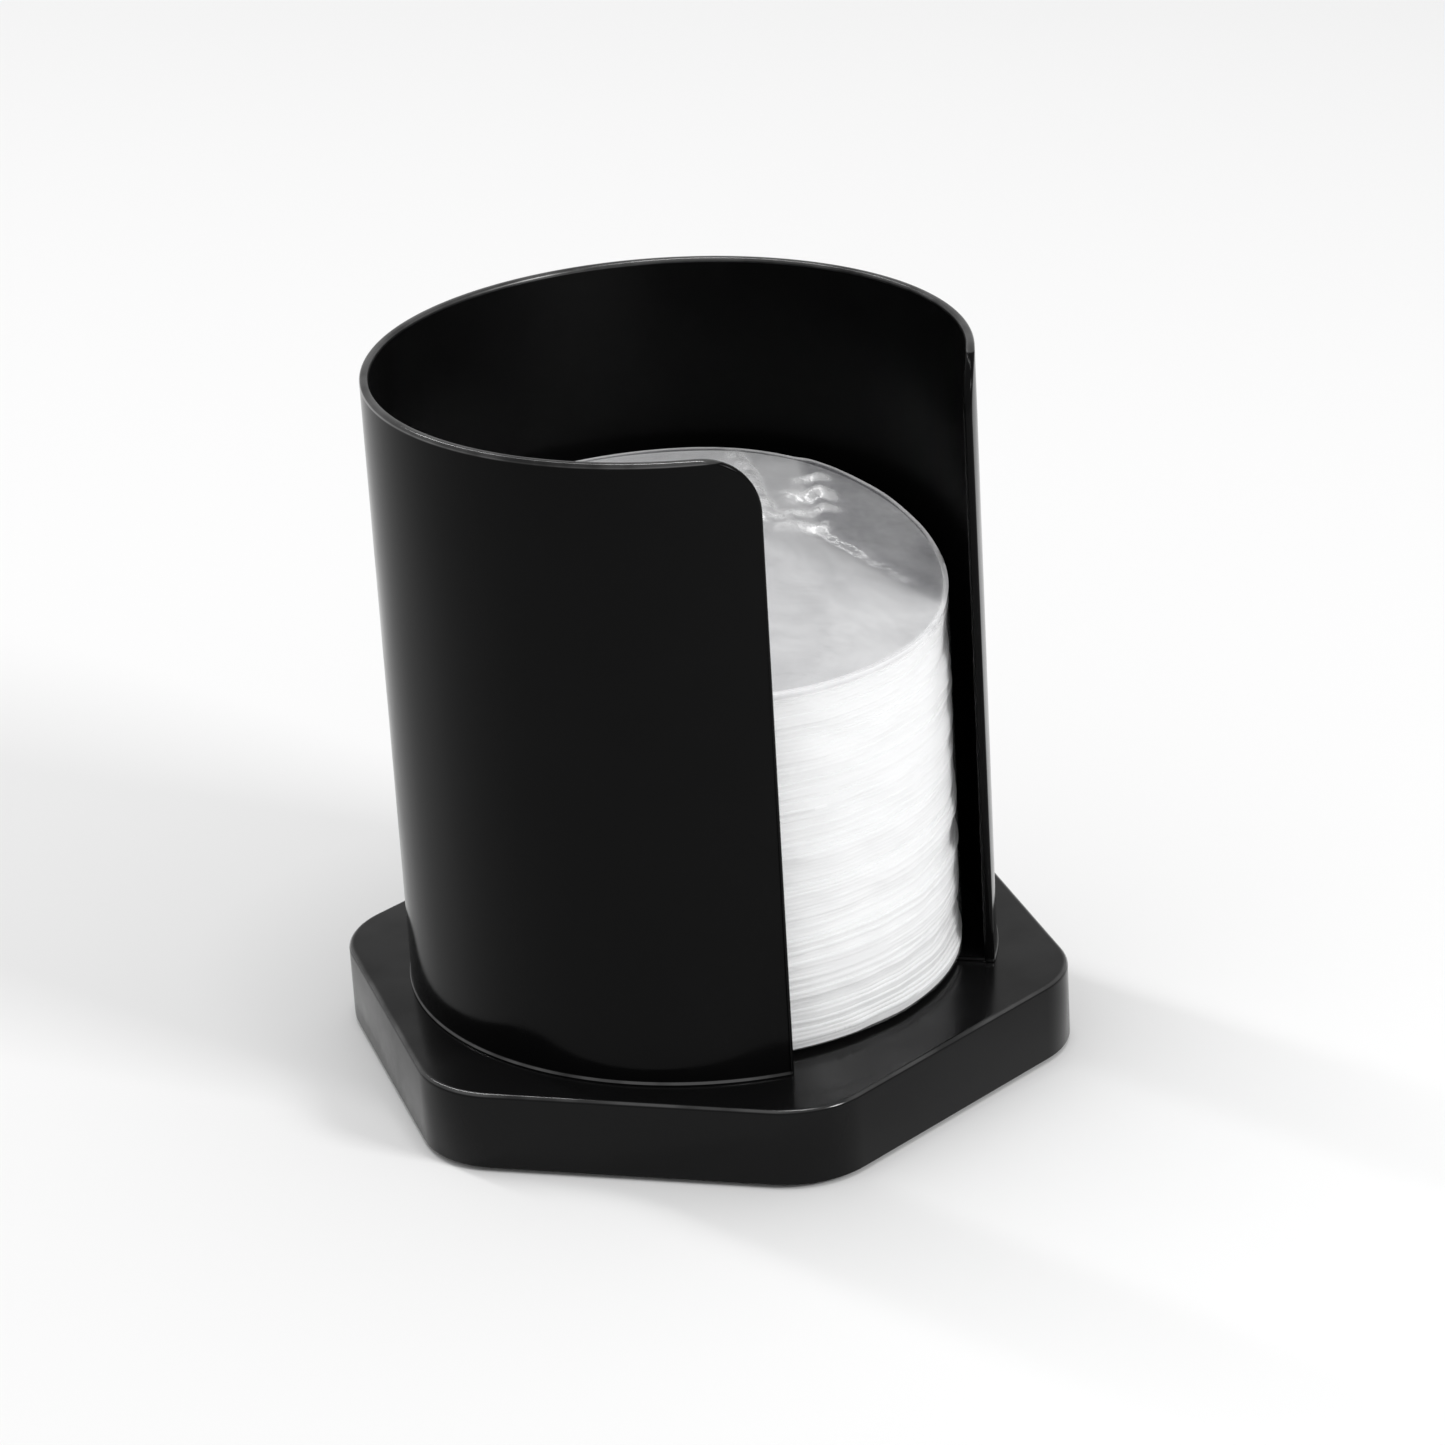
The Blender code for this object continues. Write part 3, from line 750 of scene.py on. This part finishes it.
def make_washers(finish):
    low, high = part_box("tube_washer_1")
    outside, thickness, edge = (high.x - low.x) / 2, high.z - low.z, 0.25 * MM
    profile = [
        (outside - edge, 0),
        (outside, edge),
        (outside, thickness - edge),
        (outside - edge, thickness),
        (SCREW_HOLE_RADIUS + edge, thickness),
        (SCREW_HOLE_RADIUS, thickness - edge),
        (SCREW_HOLE_RADIUS, edge),
        (SCREW_HOLE_RADIUS + edge, 0),
    ]
    rings = [circle(radius, z, HOLE_STEPS) for radius, z in profile]
    mesh = mesh_from("tube_washer", loft(rings, start="loop"))
    for number in range(1, len(TUBE_SCREW_ANGLES) + 1):
        node = f"tube_washer_{number}"
        washer = piece(f"c_{node}", mesh, finish)
        washer.location = middle_of(node)
        washer.location.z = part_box(node)[0].z
        stands_for(washer, "holder", "washers", node)


def make_feet(finish):
    """Rubber feet with a rounded edge and a ring groove in the sole."""
    low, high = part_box("foot_1")
    radius, height = (high.x - low.x) / 2, high.z - low.z
    groove, depth, edge = 0.55 * radius, 0.25 * MM, 0.4 * MM
    profile = [
        (0.25 * radius, 0),
        (groove - 0.5 * MM, 0),
        (groove - 0.3 * MM, depth),
        (groove + 0.3 * MM, depth),
        (groove + 0.5 * MM, 0),
        (radius - edge, 0),
        (radius - 0.3 * edge, 0.3 * edge),
        (radius, edge),
        (radius, height),
    ]
    mesh = mesh_from("foot", turned(profile))
    for number in range(1, len(CORNER_ANGLES) + 1):
        node = f"foot_{number}"
        foot = piece(f"c_{node}", mesh, finish)
        foot.location = middle_of(node)
        foot.location.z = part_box(node)[0].z
        stands_for(foot, "holder", "feet", node)


# The pack


def sheet_rise(y):
    """How far a sheet on the top of the pack is lifted at this distance behind the axis."""
    across = min(max((y + NAPKIN_RADIUS) / RISE_RUN, 0.0), 1.0)
    return BACK_RISE * math.sin(across * math.pi / 2) ** CURL_POWER


def wander(*place):
    """Smooth noise from -1 to 1 that depends only on the place."""
    return noise.noise(Vector(place))


def make_napkin_stack(finish):
    """Many sheets of tissue. Each one is a low round bulge on the side, slipped a little off the axis."""
    bottom, height = stack_low.z, STACK_FRONT_TOP - stack_low.z
    mean_radius = NAPKIN_RADIUS - 0.1 * MM
    rings = []
    # Places through a sheet's thickness, each with its share of the groove
    bulge = ((0.0, 1.0), (0.22, 0.25), (0.5, 0.0), (0.78, 0.25))
    for layer in range(LAYERS):
        slip_x = SHEET_SLIP * wander(layer * 0.73, 3.1, 7.7) * 2
        slip_y = SHEET_SLIP * wander(5.3, layer * 0.71, 1.9) * 2
        bundle = BUNDLE_DEPTH * wander(layer * 0.15, 11.3, 2.2)
        for share, groove in bulge:
            up = (layer + share) / LAYERS
            lift = up**CURL_DEPTH_POWER
            ring = []
            for i in range(ROUND_STEPS):
                angle = 2 * math.pi * i / ROUND_STEPS
                way_x, way_y = math.cos(angle), math.sin(angle)
                ragged = RAGGED_DEPTH * wander(way_x * 10, way_y * 10, layer * 0.25)
                broad = BROAD_DEPTH * wander(way_x * 5, way_y * 5, up * 16)
                radius = mean_radius + bundle + ragged + broad - EDGE_GROOVE * groove
                radius = min(radius, NAPKIN_RADIUS + 0.2 * MM)
                sag = STACK_SAG * wander(way_x * 1.7, way_y * 1.7, 20 + layer * 0.05) * math.sin(math.pi * up)
                z = bottom + height * up + sheet_rise(radius * way_y) * lift + sag
                ring.append(Vector((radius * way_x + slip_x, radius * way_y + slip_y, z)))
            rings.append(ring)
    top_shares = (1.0, 0.9, 0.75, 0.6, 0.45, 0.3, 0.15)
    for share in top_shares:
        radius = (NAPKIN_RADIUS - 0.5 * MM) * share
        rings.append([p + Vector((0, 0, sheet_rise(p.y))) for p in circle(radius, STACK_FRONT_TOP)])
    bm = loft(rings, end=Vector((0, 0, STACK_FRONT_TOP + sheet_rise(0))))
    stack = piece("napkin_sheets", mesh_from("napkin_sheets", bm, sharp=60), finish)
    stands_for(stack, "pack", "napkins", "napkin_stack")


def make_top_napkin(finish):
    """The loose sheet on top. It is thin, and its edge waves a little."""
    height = SHEET_FRONT_TOP - TOP_NAPKIN_THICKNESS
    ring_count = 26
    shares = [number / ring_count for number in range(1, ring_count + 1)]

    def surface(offset):
        made = []
        for share in shares:
            ring = []
            for p in circle(NAPKIN_RADIUS * share, height + offset):
                wave = TOP_NAPKIN_WAVE * wander(p.x * 70, p.y * 70, 4.4) * share
                ring.append(p + Vector((0, 0, sheet_rise(p.y) + wave)))
            made.append(ring)
        return made

    under, over = surface(0), surface(TOP_NAPKIN_THICKNESS)
    middle = height + sheet_rise(0)
    below, above = Vector((0, 0, middle)), Vector((0, 0, middle + TOP_NAPKIN_THICKNESS))
    bm = loft(under + over[::-1], start=below, end=above)
    sheet = piece("loose_top_napkin", mesh_from("loose_top_napkin", bm, sharp=60), finish)
    stands_for(sheet, "top_sheet", "napkins", "top_napkin")


def smooth_step(value):
    value = min(max(value, 0.0), 1.0)
    return value * value * (3 - 2 * value)


def into_pocket(x, y):
    """How far this place lies inside the loose pocket of film, from its fold or its side."""
    past_fold = x - FOLD_X
    past_side = (x - POCKET_CORNER[0]) * POCKET_SIDE[1] - (y - POCKET_CORNER[1]) * POCKET_SIDE[0]
    return min(past_fold, past_side)


def film_pocket(x, y):
    """The loose pocket: it stands up steeply at its edges, and is drawn down in soft folds to the rim."""
    depth = into_pocket(x, y)
    share = min(math.hypot(x, y) / NAPKIN_RADIUS, 1.0)
    fan = math.sin(11 * math.atan2(y - POCKET_CORNER[1], x - POCKET_CORNER[0]))
    puff = POCKET_HEIGHT + POCKET_FOLDS * fan * smooth_step(depth / (12 * MM))
    return puff * smooth_step(depth / (5 * MM)) * (1 - 0.75 * share**9)


def film_ridges(x, y):
    """Height of the pinched ridges, which catch the light, and the mask of their painted glint."""
    height, painted_glint = 0.0, 0.0
    for number, (mid_x, mid_y, half_length, heading) in enumerate(RIDGES):
        dx, dy = x - mid_x * MM, y - mid_y * MM
        way_x, way_y = math.cos(math.radians(heading)), math.sin(math.radians(heading))
        along = (dx * way_x + dy * way_y) / (half_length * MM)
        across = dx * way_y - dy * way_x + 1.5 * MM * wander(along * 1.2, number * 3.7, 2.1)
        width = (3.0 + 0.7 * math.sin(2.4 * number)) * MM
        fading = math.exp(-(along**4))
        height = max(height, RIDGE_SLOPE * max(0.0, width - abs(across)) * fading)
        # Painted glint: a mask along each ridge where the film's material paints it pale and more opaque
        painted_glint = max(painted_glint, smooth_step(1.3 - abs(across) / width) * fading)
    return height, painted_glint


def film_wrinkle(x, y):
    """Sharp-ridged wrinkles of three sizes, most of them at the back."""
    total, size = 0.0, 1.0
    for octave, scale in enumerate((30, 70, 150)):
        bend = 0.35 * wander(x * 22, y * 22, 9.1 + octave)
        total += size * (1 - 2.4 * abs(wander(x * scale + bend, y * scale - bend, 5.5 + octave)))
        size *= 0.42
    behind = 0.25 + 0.75 * smooth_step((y + 30 * MM) / (40 * MM))
    return FILM_WRINKLES * max(total, 0.0) * behind


def film_loose(x, y):
    """How far the film stands off the top sheet here. Outside the pocket it lies down on it at the rim."""
    share = min(math.hypot(x, y) / NAPKIN_RADIUS, 1.0)
    return film_pocket(x, y) + (film_ridges(x, y)[0] + film_wrinkle(x, y)) * (1 - share**8)


def paint_film(mesh):
    """Stores on each point what its material needs: on the top and in the pocket, where its painted shade
    goes, and the pinched ridges and the sharp bend at the rim, where its painted glints and painted highlight
    go.
    """
    marks = [mesh.attributes.new(mark, "FLOAT", "POINT") for mark in FILM_MARKS]
    for number, vertex in enumerate(mesh.vertices):
        x, y, z = vertex.co
        share = math.hypot(x, y) / film_high.x
        below = FILM_FRONT_TOP + sheet_rise(y) - z
        on_top = 1 - smooth_step(below / (1.5 * MM))
        pocket = smooth_step(into_pocket(x, y) / (4 * MM)) * on_top
        # Painted glint: where the pinched ridges are painted pale
        pinch = film_ridges(x, y)[1] * on_top
        # Painted highlight: the film's sharp bend over the rim of the top is painted pale
        bend = smooth_step((share - 0.975) / 0.02) * (1 - smooth_step(abs(below) / (3 * MM)))
        for mark, value in zip(marks, (on_top, pocket, pinch, bend)):
            mark.data[number].value = value


def make_film(finish):
    """The film round the pack: open below, tight at the side, and loose and wrinkled on top."""
    top_steps, side_steps, steps = 92, 36, 300
    inside = film_high.x
    bottom = film_low.z
    rings = []
    for level in range(1, top_steps + 1):
        flat = circle(inside * level / top_steps, FILM_FRONT_TOP, steps)
        rings.append([p + Vector((0, 0, sheet_rise(p.y) + film_loose(p.x, p.y))) for p in flat])
    for level in range(1, side_steps + 1):
        down = level / side_steps
        ring = []
        for p in circle(inside, FILM_FRONT_TOP, steps):
            top = FILM_FRONT_TOP + sheet_rise(p.y) + film_loose(p.x, p.y)
            z = top + (bottom - top) * down
            out = p.normalized()
            out.z = 0
            fold = abs(wander(p.x * 90, p.y * 90, z * 14))
            ring.append(Vector((p.x, p.y, z)) + out * FILM_SIDE_FOLDS * fold * min(1.0, 6 * down))
        rings.append(ring)
    middle = Vector((0, 0, FILM_FRONT_TOP + sheet_rise(0) + film_loose(0, 0)))
    bm = loft(rings, start=middle, end=None)
    film = piece("clear_film_wrap", mesh_from("clear_film_wrap", bm, sharp=80), finish)
    paint_film(film.data)
    skin = film.modifiers.new("thickness", "SOLIDIFY")
    skin.thickness = FILM_THICKNESS
    skin.offset = 1
    stands_for(film, "wrap", "film", "film_wrap")


# Studio


def make_floor():
    bpy.ops.mesh.primitive_plane_add(size=14)
    floor = bpy.context.object
    floor.name = "floor"
    look = Look("floor_paper")
    look.set(Roughness=0.9, IOR=1.2)
    cloud = look.noise(1.5, detail=2)
    floor.data.materials.append(look.finish(look.colour(cloud, (0.88, 0.88, 0.88), (0.90, 0.90, 0.90))))


def softbox(name, azimuth, elevation, distance, size, power, aim=(0, 0, 0.1)):
    """A rectangular light in that direction from the object. Azimuth -90 is straight in front of the slot."""
    light = bpy.data.lights.new(name, "AREA")
    light.shape = "RECTANGLE"
    light.size, light.size_y = size
    light.energy = power
    lamp = bpy.data.objects.new(name, light)
    bpy.context.scene.collection.objects.link(lamp)
    level = distance * math.cos(math.radians(elevation))
    lamp.location = Vector(aim) + polar(level, azimuth, distance * math.sin(math.radians(elevation)))
    lamp.rotation_euler = (lamp.location - Vector(aim)).to_track_quat("Z", "Y").to_euler()
    return lamp


def strip_light(name, middle, width, length, power):
    """A long lamp overhead that runs along Y and shines down. Rounded edges reflect it as a thin line."""
    lamp = softbox(name, azimuth=0, elevation=90, distance=1, size=(width, length), power=power)
    lamp.location = middle
    lamp.rotation_euler = (0, 0, 0)


def make_lights():
    softbox("key", azimuth=-80, elevation=30, distance=3.0, size=(0.7, 0.7), power=36)
    strip_light("overhead_strip", middle=(0, 0.9, 2.1), width=0.13, length=3.4, power=25)
    world = bpy.data.worlds.new("studio")
    bpy.context.scene.world = world
    world.use_nodes = True
    background = world.node_tree.nodes["Background"]
    background.inputs["Color"].default_value = (1.0, 1.0, 1.0, 1.0)
    background.inputs["Strength"].default_value = 0.57


def make_camera():
    camera = bpy.data.cameras.new("camera")
    camera.lens = CAMERA_LENS
    camera.sensor_width = 36
    camera.clip_start = 0.05
    holder = bpy.data.objects.new("camera", camera)
    bpy.context.scene.collection.objects.link(holder)
    azimuth, elevation = math.radians(CAMERA_AZIMUTH), math.radians(CAMERA_ELEVATION)
    level = math.cos(elevation)
    back = Vector((math.sin(azimuth) * level, -math.cos(azimuth) * level, math.sin(elevation)))
    turn = back.to_track_quat("Z", "Y").to_matrix().to_4x4()
    roll = Matrix.Rotation(math.radians(CAMERA_ROLL), 4, "Z")
    holder.matrix_world = Matrix.Translation(Vector(CAMERA_TARGET) + CAMERA_DISTANCE * back) @ turn @ roll
    bpy.context.scene.camera = holder


def tube_plastic():
    foot = (TUBE_FOOT, TUBE_FOOT + FOOT_FILLET)
    rim = (TUBE_RIM - 1.2 * MM, TUBE_RIM + 1 * MM)
    return gloss_black(
        "tube_black",
        index=1.155,
        roughness=0.12,
        tone=0.003,
        peel=0.03,
        edges=[foot, rim],
        inner_roughness=0.2,
    )


def base_plastic():
    top_edge = (BASE_TOP - 0.7 * MM, BASE_TOP - 0.1 * MM)
    return gloss_black("base_black", index=1.22, roughness=0.15, tone=0.005, peel=0.12, edges=[top_edge])


def main():
    make_tube(tube_plastic())
    make_base_shell(base_plastic())
    make_bottom_cover(moulded_black("cover_black"))
    make_ballast_plate(bright_steel("ballast_steel", (0.55, 0.56, 0.58), (120, 2500, 400)))
    tube_screw_steel = bright_steel("tube_screw_steel", (0.62, 0.62, 0.64), (900, 900, 5000))
    make_screws("tube_screw", len(TUBE_SCREW_ANGLES), TUBE_SCREW_LENGTH, tube_screw_steel)
    cover_screw_steel = bright_steel("cover_screw_steel", (0.62, 0.62, 0.64), (900, 900, 5000))
    make_screws("cover_screw", len(CORNER_ANGLES), COVER_SCREW_LENGTH, cover_screw_steel)
    make_washers(bright_steel("washer_steel", (0.62, 0.62, 0.63), (3500, 700, 900)))
    make_feet(rubber("foot_rubber"))
    make_napkin_stack(tissue("stack_tissue", 0.92))
    make_top_napkin(tissue("sheet_tissue", 0.92))
    make_film(clear_film("clear_film"))
    make_floor()
    make_lights()
    make_camera()
    bpy.context.scene.view_settings.view_transform = "Standard"


main()
